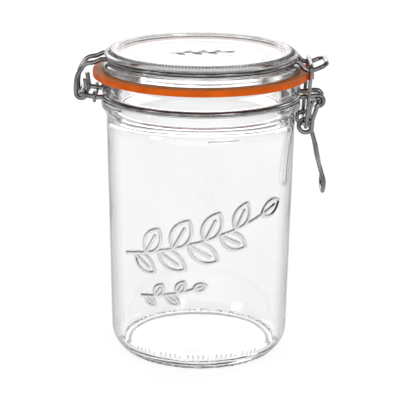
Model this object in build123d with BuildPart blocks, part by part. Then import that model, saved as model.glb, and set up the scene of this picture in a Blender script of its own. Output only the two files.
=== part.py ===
"""Bail clamp jar: a round glass jar, its glass lid on a wire hinge, a flat rubber ring and a wire toggle latch.

Millimetres. Z is up, the origin is on the jar's axis in the plane that it stands on.
The hinge is on the -X side and the latch is on the +X side.
"""
import os
from math import asin, cos, degrees, pi, radians, sin, sqrt

from build123d import *

os.makedirs("parts", exist_ok=True)

# Glass body
body_top_radius = 53.4
body_bottom_radius = 51.0
rim_height = 160.2
wall = 3.6
base_thickness = 5.0
heel_height = 13.0
heel_run = 7.2
foot_ring_width = 5.5
foot_recess = 1.5
collar_stand = 2.7
bead_stand = 3.0
bead_half = 2.3
bead_root = 7.0
neck_wall = 9.1
rim_round = 1.5
shoulder_drop = 29.2
bead_drop = 15.2
neck_wire_drop = 10.7
shoulder_bow = 0.9
shoulder_bow_rise = 2.8
neck_foot_drop = 1.0
neck_ease = 6.0
shoulder_inner_drop = 2.0
shoulder_ease = 7.0
inner_heel_size = 9.0
inner_heel_bow = 2.7
inner_heel_bow_rise = 3.1

# Rubber ring
ring_thickness = 3.9
ring_stand = 4.9
ring_stretch_gap = 0.1
ring_edge = 0.5
tab_stand = 1.9
tab_width = 26.0
tab_overlap = 4.0
tab_end_chamfer = 1.0
tab_side_chamfer = 0.6
tab_corner = 2.4

# Glass lid
lid_rise = 11.1
lid_recess = 1.6
lid_rim_width = 4.7
flange_inset = 0.1
flange_edge = 1.2
rim_inset = 4.5
band_inset = 1.5
band_drop = 2.2
band_height = 1.0
lid_thickness = 5.4
lip_clearance = 1.4
lip_taper = 0.9
lip_depth = 3.4
lip_thickness = 4.0
lip_round = 1.0
recess_slope = 1.0
lid_groove_drop = 0.3
lid_groove_sink = 0.5
lid_groove_flare = 0.7
lid_under_lean = 0.5
lid_under_drop = 2.0
lid_under_ease = 3.0
lid_under_run = 8.0

# Wire diameters
neck_wire_diameter = 2.8
lid_wire_diameter = 2.6
lever_diameter = 2.5
link_diameter = 2.2
tie_diameter = 1.8

# Clearances
groove_gap = 0.2
hinge_gap = 0.3
pivot_gap = 0.25
seat_gap = 0.3
tie_gap = 0.1

# Hinge side: how far each wire stands out from the glass, and the distance between its two runs
hinge_stand = 6.0
hinge_rise = 1.5
hinge_span = 25.2
hinge_corner = 2.0
hook_span = 17.2
hook_prong = 8.2
leg_span_at_lid = 20.0
wire_turn = 3.0
run_straight = 2.5
run_bend = 4.0
tie_stand = 3.3
tie_end = 2.2

# Lid wire's legs: each bend's place, and its radius
leg_straight = 1.5
leg_start_bend = 2.0
leg_dip_run = 5.2
leg_dip = 1.7
leg_dip_bend = 4.0
leg_shoulder_inset = 2.2
leg_shoulder_drop = 2.6
leg_shoulder_bend = 4.6
leg_flare = 0.2
hook_lead_rise = 10.2
hook_lead_inset = 0.9
hook_lead_flare = 0.5
hook_straight = 4.5
hook_bend = 12.0
prong_straight = 2.5
prong_lean = 0.8
prong_bend = 6.0

# Latch side
pivot_stand = 9.7
ear_span = 15.0
ear_rise = 0.7
ear_wrap = 215.0
ear_straight = 1.5
ear_bend = 8.0
tongue_span = 24.8
tongue_turn = 2.0
tongue_lift = 2.6
tongue_bar_rise = 0.8
tongue_corner = 3.0
tongue_corner_run = 2.5
tongue_corner_drop = 0.5
tongue_straight = 0.9
tongue_outer_bend = 5.0
valley_outer_half = 2.0
valley_outer_rise = 0.3
valley_offset = 0.8
valley_inner_half = 3.6
valley_inner_rise = 0.5
valley_bend = 4.0
valley_inner_bend = 2.4
valley_stand = 5.1
valley_gap = 0.3
leg_span = 24.4
coil_radius = 3.7
coil_pitch = 2.6
coil_inset = 7.0
coil_drop = 13.7
pin_inner_span = 10.6
link_span = 30.8
link_foot_span = 14.6
handle_span = 18.0
handle_length = 39.6
handle_lean = 7.8
handle_end_lean = 0.4
handle_end_rise = 7.0
handle_end_bend = 8.0
handle_corner = 5.0
shoulder_lean = 2.6
shoulder_depth = 12.0
knee_lean = 4.8
knee_depth = 23.0
handle_bend = 30.0
pin_bend = 2.6
coil_inset_side = 0.5
coil_lead_in = 3.6
coil_lead_out = 3.5
coil_bend = 6.0
link_foot_bend = 2.3
link_bar_bend = 2.6

# Worked out from the sizes above
neck_r = neck_wire_diameter / 2
lid_r = lid_wire_diameter / 2
lever_r = lever_diameter / 2
link_r = link_diameter / 2
tie_r = tie_diameter / 2
foot_radius = body_bottom_radius - heel_run
collar_radius = body_top_radius + collar_stand
bead_radius = body_top_radius + bead_stand
mouth_radius = collar_radius - neck_wall
body_top_height = rim_height - shoulder_drop
bead_height = rim_height - bead_drop
neck_wire_height = rim_height - neck_wire_drop
neck_ring = collar_radius - neck_r + groove_gap
ring_radius = collar_radius + ring_stand
tab_reach = ring_radius + tab_stand
lid_seat_height = rim_height + ring_thickness
flange_radius = collar_radius - flange_inset
lid_rim_radius = flange_radius - rim_inset
lid_recess_radius = lid_rim_radius - lid_rim_width
band_radius = flange_radius - band_inset
lid_top_height = lid_seat_height + lid_rise
band_top_height = lid_top_height - band_drop
band_bottom_height = band_top_height - band_height
lid_wire_height = band_bottom_height - lid_r - lid_groove_drop
lid_ring = band_radius - lid_r - lid_groove_sink
lip_radius = mouth_radius - lip_clearance
hinge_reach = ring_radius + hinge_stand
lid_hinge_z = neck_wire_height + hinge_rise
hook_radius = neck_r + lid_r + hinge_gap
tie_reach = collar_radius + tie_stand
pivot_reach = collar_radius + pivot_stand
ear_radius = neck_r + lever_r + pivot_gap
pivot_z = neck_wire_height + ear_rise - ear_radius
tongue_reach = hinge_reach + hook_radius
valley_reach = collar_radius + valley_stand
valley_z = lid_seat_height + lid_r + valley_gap
coil_x = pivot_reach - coil_inset
coil_z = pivot_z - coil_drop
latch_z = valley_z + lid_r + link_r + seat_gap
handle_height = coil_z - handle_length


def ring_exit(ring, turn, across):
    """Where a wire at this distance from the middle plane meets the turn that joins it to its ring."""
    return sqrt((ring + turn) ** 2 - (across + turn) ** 2)


def exit_angle(ring, turn, across):
    """The angle from the X axis, in degrees, at which that turn meets the ring."""
    return degrees(asin((across + turn) / (ring + turn)))


# Jar body: one revolved glass wall, with a groove for the neck wire and a bead under it
inner_top = body_top_radius - wall
inner_bottom = body_bottom_radius - wall
groove_half = neck_r + 2 * groove_gap
groove_floor = neck_ring - neck_r - groove_gap
with BuildPart() as jar_body:
    with BuildSketch(Plane.XZ):
        with BuildLine():
            Polyline(
                (0, foot_recess),
                (foot_radius - foot_ring_width - foot_recess, foot_recess),
                (foot_radius - foot_ring_width, 0),
                (foot_radius, 0),
            )
            heel_r = ((body_bottom_radius - foot_radius) ** 2 + heel_height**2) / (
                2 * (body_bottom_radius - foot_radius)
            )
            RadiusArc((foot_radius, 0), (body_bottom_radius, heel_height), -heel_r)
            Line((body_bottom_radius, heel_height), (body_top_radius, body_top_height))
            under_bead = body_top_height + bead_root
            Line((body_top_radius, body_top_height), (body_top_radius, under_bead))
            bead_foot = bead_height - bead_half
            ThreePointArc(
                (body_top_radius, under_bead),
                (body_top_radius + shoulder_bow, under_bead + shoulder_bow_rise),
                (collar_radius, bead_foot),
            )
            ThreePointArc(
                (collar_radius, bead_foot),
                (bead_radius, bead_height),
                (collar_radius, neck_wire_height - groove_half),
            )
            ThreePointArc(
                (collar_radius, neck_wire_height - groove_half),
                (groove_floor, neck_wire_height),
                (collar_radius, neck_wire_height + groove_half),
            )
            Line(
                (collar_radius, neck_wire_height + groove_half),
                (collar_radius, rim_height - rim_round),
            )
            RadiusArc(
                (collar_radius, rim_height - rim_round),
                (collar_radius - rim_round, rim_height),
                -rim_round,
            )
            Line((collar_radius - rim_round, rim_height), (mouth_radius + rim_round, rim_height))
            RadiusArc(
                (mouth_radius + rim_round, rim_height),
                (mouth_radius, rim_height - rim_round),
                -rim_round,
            )
            neck_foot = bead_height - neck_foot_drop
            inner_shoulder = body_top_height - shoulder_inner_drop
            Line((mouth_radius, rim_height - rim_round), (mouth_radius, neck_foot))
            Bezier(
                (mouth_radius, neck_foot),
                (mouth_radius, neck_foot - neck_ease),
                (inner_top, inner_shoulder + shoulder_ease),
                (inner_top, inner_shoulder),
            )
            inner_heel = base_thickness + inner_heel_size
            Line((inner_top, inner_shoulder), (inner_bottom, inner_heel))
            ThreePointArc(
                (inner_bottom, inner_heel),
                (inner_bottom - inner_heel_bow, base_thickness + inner_heel_bow_rise),
                (inner_bottom - inner_heel_size, base_thickness),
            )
            Line((inner_bottom - inner_heel_size, base_thickness), (0, base_thickness))
            Line((0, base_thickness), (0, foot_recess))
        make_face()
    revolve(axis=Axis.Z)

# Glass lid: rim, knurled band, wire groove, sloping flange and a tapered lip that drops in the mouth
lid_groove_floor = lid_ring - lid_r - groove_gap
lid_groove_foot = lid_wire_height - lid_r - lid_groove_sink
lid_under = lid_top_height - lid_recess - lid_thickness
lip_foot = rim_height - lip_depth
lip_inner = lip_radius - lip_taper - lip_thickness
with BuildPart() as glass_lid:
    with BuildSketch(Plane.XZ):
        with BuildLine():
            Polyline(
                (0, lid_top_height - lid_recess),
                (lid_recess_radius, lid_top_height - lid_recess),
                (lid_recess_radius + recess_slope, lid_top_height),
                (lid_rim_radius, lid_top_height),
                (band_radius, band_top_height),
                (band_radius, band_bottom_height),
            )
            ThreePointArc(
                (band_radius, band_bottom_height),
                (lid_groove_floor, lid_wire_height),
                (lid_ring + lid_groove_flare, lid_groove_foot),
            )
            Polyline(
                (lid_ring + lid_groove_flare, lid_groove_foot),
                (flange_radius, lid_seat_height + flange_edge),
                (flange_radius, lid_seat_height),
                (lip_radius, lid_seat_height),
                (lip_radius - lip_taper, lip_foot + lip_round),
            )
            ThreePointArc(
                (lip_radius - lip_taper, lip_foot + lip_round),
                (lip_radius - lip_taper - lip_thickness / 2, lip_foot),
                (lip_inner, lip_foot + lip_round),
            )
            Bezier(
                (lip_inner, lip_foot + lip_round),
                (lip_inner - lid_under_lean, lid_under - lid_under_drop),
                (lip_inner - lid_under_ease, lid_under),
                (lip_inner - lid_under_run, lid_under),
            )
            Line((lip_inner - lid_under_run, lid_under), (0, lid_under))
            Line((0, lid_under), (0, lid_top_height - lid_recess))
        make_face()
    revolve(axis=Axis.Z)

# Rubber ring with a pull tab under the latch
with BuildPart() as rubber_gasket:
    with BuildSketch(Plane.XY.offset(rim_height)):
        Circle(ring_radius)
        with BuildLine():
            tab_root = ring_radius - tab_overlap
            tab_side = tab_width / 2
            Polyline(
                (tab_root, -tab_side),
                (tab_reach - tab_end_chamfer, -tab_side + tab_side_chamfer),
                (tab_reach, -tab_side + tab_corner),
                (tab_reach, tab_side - tab_corner),
                (tab_reach - tab_end_chamfer, tab_side - tab_side_chamfer),
                (tab_root, tab_side),
                close=True,
            )
        make_face()
        Circle(lip_radius + ring_stretch_gap, mode=Mode.SUBTRACT)
    extrude(amount=ring_thickness)
    fillet(rubber_gasket.faces().filter_by(Axis.Z).edges().sort_by(SortBy.LENGTH)[-2:], ring_edge)

# Neck wire: half the ring, a run to the hinge pin and an ear that curls over the lever's pivot
run_y = hinge_span / 2
ear_y = ear_span / 2
with BuildPart() as neck_wire:
    with BuildLine() as neck_path:
        ear_end = 90 - ear_wrap
        ear = ThreePointArc(
            (
                pivot_reach + ear_radius * cos(radians(ear_end)),
                -ear_y,
                pivot_z + ear_radius * sin(radians(ear_end)),
            ),
            (
                pivot_reach + ear_radius * cos(radians(90 - ear_wrap / 2)),
                -ear_y,
                pivot_z + ear_radius * sin(radians(90 - ear_wrap / 2)),
            ),
            (pivot_reach, -ear_y, neck_wire_height + ear_rise),
        )
        ear_x = ring_exit(neck_ring, wire_turn, ear_y)
        FilletPolyline(
            ear @ 1,
            (pivot_reach - ear_straight, -ear_y, neck_wire_height + ear_rise),
            (ear_x + ear_straight, -ear_y, neck_wire_height),
            (ear_x, -ear_y, neck_wire_height),
            radius=ear_bend,
        )
        ear_angle = exit_angle(neck_ring, wire_turn, ear_y)
        CenterArc((ear_x, -ear_y - wire_turn, neck_wire_height), wire_turn, 90, 90 - ear_angle)
        run_angle = exit_angle(neck_ring, wire_turn, run_y)
        CenterArc((0, 0, neck_wire_height), neck_ring, -ear_angle, -(180 - ear_angle - run_angle))
        run_x = ring_exit(neck_ring, wire_turn, run_y)
        CenterArc(
            (-run_x, -run_y - wire_turn, neck_wire_height), wire_turn, run_angle, 90 - run_angle
        )
        FilletPolyline(
            (-run_x, -run_y, neck_wire_height),
            (-run_x - run_straight, -run_y, neck_wire_height),
            (-hinge_reach, -run_y, lid_hinge_z),
            (-hinge_reach, 0, lid_hinge_z),
            radius=[run_bend, hinge_corner],
        )
    with BuildSketch(Plane(origin=neck_path.line @ 0, z_dir=neck_path.line % 0)):
        Circle(neck_r)
    sweep(path=neck_path.line)
    mirror(about=Plane.XZ)

# Lid wire: half the ring, a leg that hooks round the hinge pin and half the tongue that the latch pulls on
tongue_y = tongue_span / 2
tongue_z = valley_z + tongue_lift
leg_y = leg_span_at_lid / 2
hook_y = hook_span / 2
hook_side = hinge_reach + hook_radius
prong_side = hinge_reach - hook_radius
with BuildPart() as lid_wire:
    with BuildLine() as lid_path:
        tongue_x = ring_exit(lid_ring, tongue_turn, tongue_y)
        FilletPolyline(
            (tongue_reach, 0, tongue_z + tongue_bar_rise),
            (tongue_reach, -tongue_y + tongue_corner, tongue_z + tongue_bar_rise),
            (tongue_reach - tongue_corner_run, -tongue_y, tongue_z - tongue_corner_drop),
            (valley_reach + valley_outer_half, -tongue_y, valley_z + valley_outer_rise),
            (valley_reach - valley_offset, -tongue_y, valley_z),
            (valley_reach - valley_inner_half, -tongue_y, valley_z + valley_inner_rise),
            (tongue_x + tongue_straight, -tongue_y, lid_wire_height),
            (tongue_x, -tongue_y, lid_wire_height),
            radius=[
                tongue_corner,
                tongue_corner,
                tongue_outer_bend,
                valley_bend,
                valley_inner_bend,
                tongue_straight,
            ],
        )
        tongue_angle = exit_angle(lid_ring, tongue_turn, tongue_y)
        CenterArc(
            (tongue_x, -tongue_y - tongue_turn, lid_wire_height), tongue_turn, 90, 90 - tongue_angle
        )
        leg_angle = exit_angle(lid_ring, wire_turn, leg_y)
        CenterArc(
            (0, 0, lid_wire_height), lid_ring, -tongue_angle, -(180 - tongue_angle - leg_angle)
        )
        leg_x = ring_exit(lid_ring, wire_turn, leg_y)
        CenterArc((-leg_x, -leg_y - wire_turn, lid_wire_height), wire_turn, leg_angle, 90 - leg_angle)
        FilletPolyline(
            (-leg_x, -leg_y, lid_wire_height),
            (-leg_x - leg_straight, -leg_y, lid_wire_height),
            (-leg_x - leg_dip_run, -leg_y, lid_wire_height - leg_dip),
            (
                -hinge_reach + leg_shoulder_inset,
                -leg_y + leg_flare,
                lid_wire_height - leg_shoulder_drop,
            ),
            (
                -hook_side + hook_lead_inset,
                -hook_y - hook_lead_flare,
                lid_hinge_z + hook_lead_rise,
            ),
            (-hook_side, -hook_y, lid_hinge_z + hook_straight),
            (-hook_side, -hook_y, lid_hinge_z),
            radius=[leg_start_bend, leg_dip_bend, leg_shoulder_bend, hook_bend, hook_bend],
        )
        ThreePointArc(
            (-hook_side, -hook_y, lid_hinge_z),
            (-hinge_reach, -hook_y, lid_hinge_z - hook_radius),
            (-prong_side, -hook_y, lid_hinge_z),
        )
        FilletPolyline(
            (-prong_side, -hook_y, lid_hinge_z),
            (-prong_side, -hook_y, lid_hinge_z + prong_straight),
            (-prong_side - prong_lean, -hook_y, lid_hinge_z + hook_prong),
            radius=prong_bend,
        )
    with BuildSketch(Plane(origin=lid_path.line @ 0, z_dir=lid_path.line % 0)):
        Circle(lid_r)
    sweep(path=lid_path.line)
    mirror(about=Plane.XZ)

# Tie wire: clips the two hinge runs of the neck wire together near the glass
tie_wrap = neck_r + tie_r + tie_gap
run_start = run_x + run_straight
run_slope = hinge_rise / (hinge_reach - run_start)
tie_z = neck_wire_height + max(0, tie_reach - run_start) * run_slope
with BuildPart() as hinge_tie_wire:
    with BuildLine() as tie_path:
        Line((-tie_reach, -run_y + tie_end, tie_z + tie_wrap), (-tie_reach, -run_y, tie_z + tie_wrap))
        ThreePointArc(
            (-tie_reach, -run_y, tie_z + tie_wrap),
            (-tie_reach, -run_y - tie_wrap, tie_z),
            (-tie_reach, -run_y, tie_z - tie_wrap),
        )
        Line((-tie_reach, -run_y, tie_z - tie_wrap), (-tie_reach, 0, tie_z - tie_wrap))
    with BuildSketch(Plane(origin=tie_path.line @ 0, z_dir=tie_path.line % 0)):
        Circle(tie_r)
    sweep(path=tie_path.line)
    mirror(about=Plane.XZ)

# Lever: pivot pin in the ears, a coil for the link's foot, and the handle
lever_y = leg_span / 2
coil_y = lever_y - coil_inset_side
handle_y = handle_span / 2
coil_side = coil_x + coil_radius
coil_slope = coil_pitch / (2 * pi * coil_radius)
handle_side = coil_side + handle_lean
with BuildPart() as lever_wire:
    with BuildLine() as lever_path:
        FilletPolyline(
            (pivot_reach, -pin_inner_span / 2, pivot_z),
            (pivot_reach, -lever_y, pivot_z),
            (coil_side, -coil_y - coil_lead_in * coil_slope, coil_z + coil_lead_in),
            (coil_side, -coil_y, coil_z),
            radius=[pin_bend, coil_bend],
        )
        coil_plane = Plane(origin=(coil_x, -coil_y, coil_z), x_dir=(1, 0, 0), z_dir=(0, 1, 0))
        add(coil_plane.location * Helix(coil_pitch, coil_pitch, coil_radius, mode=Mode.PRIVATE))
        after_coil_y = -coil_y + coil_pitch
        FilletPolyline(
            (coil_side, after_coil_y, coil_z),
            (coil_side, after_coil_y + coil_lead_out * coil_slope, coil_z - coil_lead_out),
            (coil_side + shoulder_lean, -handle_y, coil_z - shoulder_depth),
            (coil_side + knee_lean, -handle_y, coil_z - knee_depth),
            (handle_side, -handle_y, handle_height + handle_end_rise),
            (handle_side - handle_end_lean, -handle_y, handle_height),
            (handle_side - handle_end_lean, 0, handle_height),
            radius=[coil_bend, handle_bend, handle_bend, handle_end_bend, handle_corner],
        )
    with BuildSketch(Plane(origin=lever_path.line @ 0, z_dir=lever_path.line % 0)):
        Circle(lever_r)
    sweep(path=lever_path.line)
    mirror(about=Plane.XZ)

# Link: feet turned into the lever's coils, and a bar that lies in the tongue's valley
link_y = link_span / 2
with BuildPart() as latch_link:
    with BuildLine() as link_path:
        FilletPolyline(
            (coil_x, -link_foot_span / 2, coil_z),
            (coil_x, -link_y, coil_z),
            (valley_reach, -link_y, latch_z),
            (valley_reach, 0, latch_z),
            radius=[link_foot_bend, link_bar_bend],
        )
    with BuildSketch(Plane(origin=link_path.line @ 0, z_dir=link_path.line % 0)):
        Circle(link_r)
    sweep(path=link_path.line)
    mirror(about=Plane.XZ)

pieces = {
    "jar_body": jar_body,
    "glass_lid": glass_lid,
    "rubber_gasket": rubber_gasket,
    "neck_wire": neck_wire,
    "lid_wire": lid_wire,
    "hinge_tie_wire": hinge_tie_wire,
    "lever_wire": lever_wire,
    "latch_link": latch_link,
}
for name, piece in pieces.items():
    piece.part.label = name
    export_step(piece.part, f"parts/{name}.step")

print(f"hinge axis x {-hinge_reach:.3f} z {lid_hinge_z:.3f}")
print(f"lever axis x {pivot_reach:.3f} z {pivot_z:.3f}")
print(f"link axis x {coil_x:.3f} z {coil_z:.3f}")
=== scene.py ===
# %% [markdown]
# # A bail clamp jar in pressed glass, orange rubber and steel wire
#
# The construction model gives every piece at its real size. This notebook gives each one its finish. The
# glass body, the glass lid and the rubber ring are modelled again here, because their small forms (the raised
# sprig, the knurled rim, the stippled foot, the soft edges of the rubber) are what the eye reads. The wires
# already have their true shape, so they only get a drawn steel surface.

# %% Load the frame
import math
import random

import bpy
import numpy as np
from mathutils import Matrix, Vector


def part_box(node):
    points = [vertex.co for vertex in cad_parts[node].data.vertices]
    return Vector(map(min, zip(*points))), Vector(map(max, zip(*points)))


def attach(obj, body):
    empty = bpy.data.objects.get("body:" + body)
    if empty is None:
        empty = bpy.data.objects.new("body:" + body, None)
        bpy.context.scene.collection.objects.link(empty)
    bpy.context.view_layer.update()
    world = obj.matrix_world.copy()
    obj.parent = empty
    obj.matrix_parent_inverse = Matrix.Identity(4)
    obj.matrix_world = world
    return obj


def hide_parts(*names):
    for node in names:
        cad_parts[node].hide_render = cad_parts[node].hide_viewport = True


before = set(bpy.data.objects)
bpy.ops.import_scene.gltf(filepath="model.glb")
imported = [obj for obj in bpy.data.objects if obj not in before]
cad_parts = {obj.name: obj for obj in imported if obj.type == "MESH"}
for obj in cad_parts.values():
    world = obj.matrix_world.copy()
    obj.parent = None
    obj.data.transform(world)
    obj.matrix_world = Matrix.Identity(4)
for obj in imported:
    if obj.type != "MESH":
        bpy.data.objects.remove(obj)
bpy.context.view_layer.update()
MM = 0.001

# %% [markdown]
# ## The camera
#
# A long lens from a little above gives a jar nearly parallel sides and a flat ellipse for its lid. The camera
# stands on the hinge and latch plane's normal, so both wire mechanisms show in profile. It is placed by a
# matrix, because a small roll about the view axis is awkward to say with Euler angles.

# %% Camera
from mathutils import Matrix, Vector

camera_distance = 0.8852
camera_height = 0.34236
camera_pitch = 0.2813
camera_roll = 0.0088
camera_lens = 143.88

camera_data = bpy.data.cameras.new("camera")
camera_data.lens = camera_lens
camera_data.sensor_width = 36.0
camera = bpy.data.objects.new("camera", camera_data)
bpy.context.scene.collection.objects.link(camera)
forward = Vector((0, math.cos(camera_pitch), -math.sin(camera_pitch)))
level_right = Vector((1, 0, 0))
level_up = level_right.cross(forward)
right = level_right * math.cos(camera_roll) + level_up * math.sin(camera_roll)
up = level_up * math.cos(camera_roll) - level_right * math.sin(camera_roll)
axes = Matrix((right, up, -forward)).transposed().to_4x4()
axes.translation = Vector((0, -camera_distance, camera_height))
camera.matrix_world = axes
bpy.context.scene.camera = camera
print("camera", tuple(round(c, 3) for c in camera.location))

# %% [markdown]
# ## Light for glass
#
# Clear glass has almost no colour of its own. It shows by what it bends: a bright field behind it and a
# darker room round it. So the floor glows white like a light table, a bright band runs round the room low
# down, and the ceiling is dark. The room is dimmer at its left and right sides, which greys the two edges of
# the wall and of each wire. The band shines back off the flat lid and along the middle of each wire. Four
# small softboxes add streaks from every side. Light goes round inside a thick lid many times before it
# leaves, so a path may bounce more often than usual.

# %% Helpers for the stage
scene = bpy.context.scene
scene.view_settings.view_transform = "Standard"
scene.cycles.max_bounces = 24
scene.cycles.glossy_bounces = 16
scene.cycles.transmission_bounces = 24


def new_mesh_object(name, vertices, faces, edges=()):
    """An object at the origin whose mesh holds these vertices, in metres."""
    mesh = bpy.data.meshes.new(name)
    mesh.from_pydata([tuple(v) for v in vertices], list(edges), [tuple(f) for f in faces])
    mesh.validate()
    obj = bpy.data.objects.new(name, mesh)
    scene.collection.objects.link(obj)
    return obj


def finish_material(name, settings):
    """A material and its Principled shader, with constants set on the shader's sockets."""
    material = bpy.data.materials.new(name)
    material.use_nodes = True
    shader = material.node_tree.nodes["Principled BSDF"]
    for socket, value in settings.items():
        shader.inputs[socket].default_value = value
    return material, shader


# %% Room
# Pairs of how high a direction points, as the sine of its elevation, and how bright the room is there.
room_light = ((0.0, 1.0), (0.08, 1.4), (0.16, 2.0), (0.38, 2.0), (0.52, 0.45), (0.70, 0.2), (1.0, 0.3))
brightest = max(light for height, light in room_light)
dim_from, dim_to = 0.4, 0.85  # how far sideways a direction points where the dimming starts and ends
dim_share = 0.2
world = bpy.data.worlds.new("studio")
scene.world = world
world.use_nodes = True
world_nodes = world.node_tree.nodes
world_links = world.node_tree.links
background = world_nodes["Background"]
view_direction = world_nodes.new("ShaderNodeTexCoord")
direction_parts = world_nodes.new("ShaderNodeSeparateXYZ")
room_ramp = world_nodes.new("ShaderNodeValToRGB")
room_stops = room_ramp.color_ramp.elements
while len(room_stops) < len(room_light):
    room_stops.new(0.5)
for stop, (height, light) in zip(room_stops, room_light):
    stop.position = height
    stop.color = (light / brightest, light / brightest, light / brightest, 1)
to_side = world_nodes.new("ShaderNodeMath")
to_side.operation = "ABSOLUTE"
side_dimming = world_nodes.new("ShaderNodeMapRange")
side_dimming.inputs["From Min"].default_value = dim_from
side_dimming.inputs["From Max"].default_value = dim_to
side_dimming.inputs["To Min"].default_value = brightest
side_dimming.inputs["To Max"].default_value = brightest * dim_share
world_links.new(view_direction.outputs["Generated"], direction_parts.inputs["Vector"])
world_links.new(direction_parts.outputs["Z"], room_ramp.inputs["Fac"])
world_links.new(room_ramp.outputs["Color"], background.inputs["Color"])
world_links.new(direction_parts.outputs["X"], to_side.inputs[0])
world_links.new(to_side.outputs["Value"], side_dimming.inputs["Value"])
world_links.new(side_dimming.outputs["Result"], background.inputs["Strength"])
print("room light by the sine of the elevation", room_light)

# %% Floor
floor_half = 6.0
floor_glow = 0.875
floor_corners = [(-floor_half, -floor_half, 0), (floor_half, -floor_half, 0)]
floor_corners += [(floor_half, floor_half, 0), (-floor_half, floor_half, 0)]
floor = new_mesh_object("floor", floor_corners, [(0, 1, 2, 3)])
floor_white = {
    "Base Color": (0.25, 0.25, 0.25, 1.0),
    "Roughness": 1.0,
    "Specular IOR Level": 0.0,
    "Emission Color": (1.0, 1.0, 1.0, 1.0),
    "Emission Strength": floor_glow,
}
floor.data.materials.append(finish_material("floor_white", floor_white)[0])
print("floor", floor_half * 2, "m wide")

# %% Softboxes
lamp_distance = 1.3
lamp_height = 0.75
lamp_size = 0.45
lamp_power = 2.5
lamp_aim = 0.09
first_lamp, lamp_turn = -60, 90
for number in range(4):
    lamp_data = bpy.data.lights.new(f"softbox_{number}", "AREA")
    lamp_data.energy = lamp_power
    lamp_data.size = lamp_size
    lamp = bpy.data.objects.new(f"softbox_{number}", lamp_data)
    turn = math.radians(first_lamp + lamp_turn * number)
    lamp.location = (lamp_distance * math.cos(turn), lamp_distance * math.sin(turn), lamp_height)
    toward = Vector(lamp.location) - Vector((0, 0, lamp_aim))
    lamp.rotation_euler = toward.to_track_quat("Z", "Y").to_euler()
    scene.collection.objects.link(lamp)
print("four softboxes")

# %% [markdown]
# ## Turning a profile
#
# Pressed glass is round, so both glass pieces start as a profile of radius and height that is turned about
# the jar's axis. A short list of points, joined by straight runs, arcs and one Bezier, is easier to read and
# to change than a sculpted mesh. The columns need not be even: a closer spacing where there is relief keeps
# the face count low elsewhere. Sizes are in millimetres, as on a drawing, and become metres in the mesh.

# %% Profile helpers
def run(a, b, step):
    """Points from a up to b, but not b, about a step apart."""
    count = max(1, round(math.dist(a, b) / step))
    return [tuple(np.array(a) + (np.array(b) - np.array(a)) * i / count) for i in range(count)]


def arc(a, through, b, step):
    """Points on the circle through three points, from a up to b, but not b."""
    (ax, ay), (mx, my), (bx, by) = a, through, b
    d = 2 * (ax * (my - by) + mx * (by - ay) + bx * (ay - my))
    a2, m2, b2 = ax * ax + ay * ay, mx * mx + my * my, bx * bx + by * by
    cx = (a2 * (my - by) + m2 * (by - ay) + b2 * (ay - my)) / d
    cy = (a2 * (bx - mx) + m2 * (ax - bx) + b2 * (mx - ax)) / d
    radius = math.dist(a, (cx, cy))
    start = math.atan2(ay - cy, ax - cx)
    to_mid = (math.atan2(my - cy, mx - cx) - start) % (2 * math.pi)
    turn = (math.atan2(by - cy, bx - cx) - start) % (2 * math.pi)
    if to_mid > turn:
        turn -= 2 * math.pi
    count = max(2, round(abs(turn) * radius / step))
    angles = [start + turn * i / count for i in range(count)]
    return [(cx + radius * math.cos(t), cy + radius * math.sin(t)) for t in angles]


def bezier(a, b, c, d, count):
    """Points on a cubic Bezier from a up to d, but not d."""
    a, b, c, d = (np.array(p, float) for p in (a, b, c, d))
    steps = [i / count for i in range(count)]
    return [
        tuple((1 - t) ** 3 * a + 3 * (1 - t) ** 2 * t * b + 3 * (1 - t) * t * t * c + t**3 * d)
        for t in steps
    ]


def turned(name, profile, angles, shape=None):
    """Turns a profile, given in millimetres from the axis out and back to the axis, into a closed mesh.

    The faces point outwards whichever way round the profile runs. shape may move the grid of points: it
    takes radius, height and angle arrays and returns radius and height.
    """
    profile = np.array(profile)
    r, z = profile[:, 0], profile[:, 1]
    if np.sum(r[:-1] * z[1:] - r[1:] * z[:-1]) < 0:
        profile = profile[::-1]
    radius = np.repeat(profile[1:-1, 0][:, None], len(angles), 1)
    height = np.repeat(profile[1:-1, 1][:, None], len(angles), 1)
    angle = np.repeat(np.array(angles)[None, :], len(profile) - 2, 0)
    if shape:
        radius, height = shape(radius, height, angle)
    grid = np.stack([radius * np.cos(angle), radius * np.sin(angle), height], -1).reshape(-1, 3)
    rows, columns = radius.shape
    start = np.array([[0, 0, profile[0, 1]]])
    end = np.array([[0, 0, profile[-1, 1]]])
    vertices = np.concatenate([grid, start, end]) * MM
    faces = []
    for i in range(rows - 1):
        for j in range(columns):
            k = (j + 1) % columns
            faces.append((i * columns + j, i * columns + k, (i + 1) * columns + k, (i + 1) * columns + j))
    first, last = rows * columns, rows * columns + 1
    for j in range(columns):
        k = (j + 1) % columns
        faces.append((first, k, j))
        faces.append((last, (rows - 1) * columns + j, (rows - 1) * columns + k))
    obj = new_mesh_object(name, vertices, faces)
    obj.data.polygons.foreach_set("use_smooth", [True] * len(obj.data.polygons))
    return obj


print("profile helpers ready")

# %% [markdown]
# ## The raised sprig
#
# Jars of this kind carry a big raised mark across the front. Here it is a plain olive sprig with a smaller
# one under it. The mark is drawn as strokes on the unrolled wall, and the wall is pushed out near a stroke.
# Real relief bends light at both edges of each stroke, which a bump map on clear glass would not do as well.

# %% Strokes of the sprig
leaf_near = (0.25, 0.62)  # where a side bulges, as shares of the leaf's length and width
leaf_far = (0.75, 0.55)
rib_start = 2
rib_bend, rib_end = 0.4, 0.28  # back from the leaf's tip, as shares of its length
first_leaf, leafy_part = 0.12, 0.8  # shares of the stem
leaf_turn = 46  # degrees from the stem
leaf_shrink, biggest_leaf = 0.45, 0.45
tip_leaf = 0.8
stem_bow = 0.6  # how near the stem comes to its bend


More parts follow.
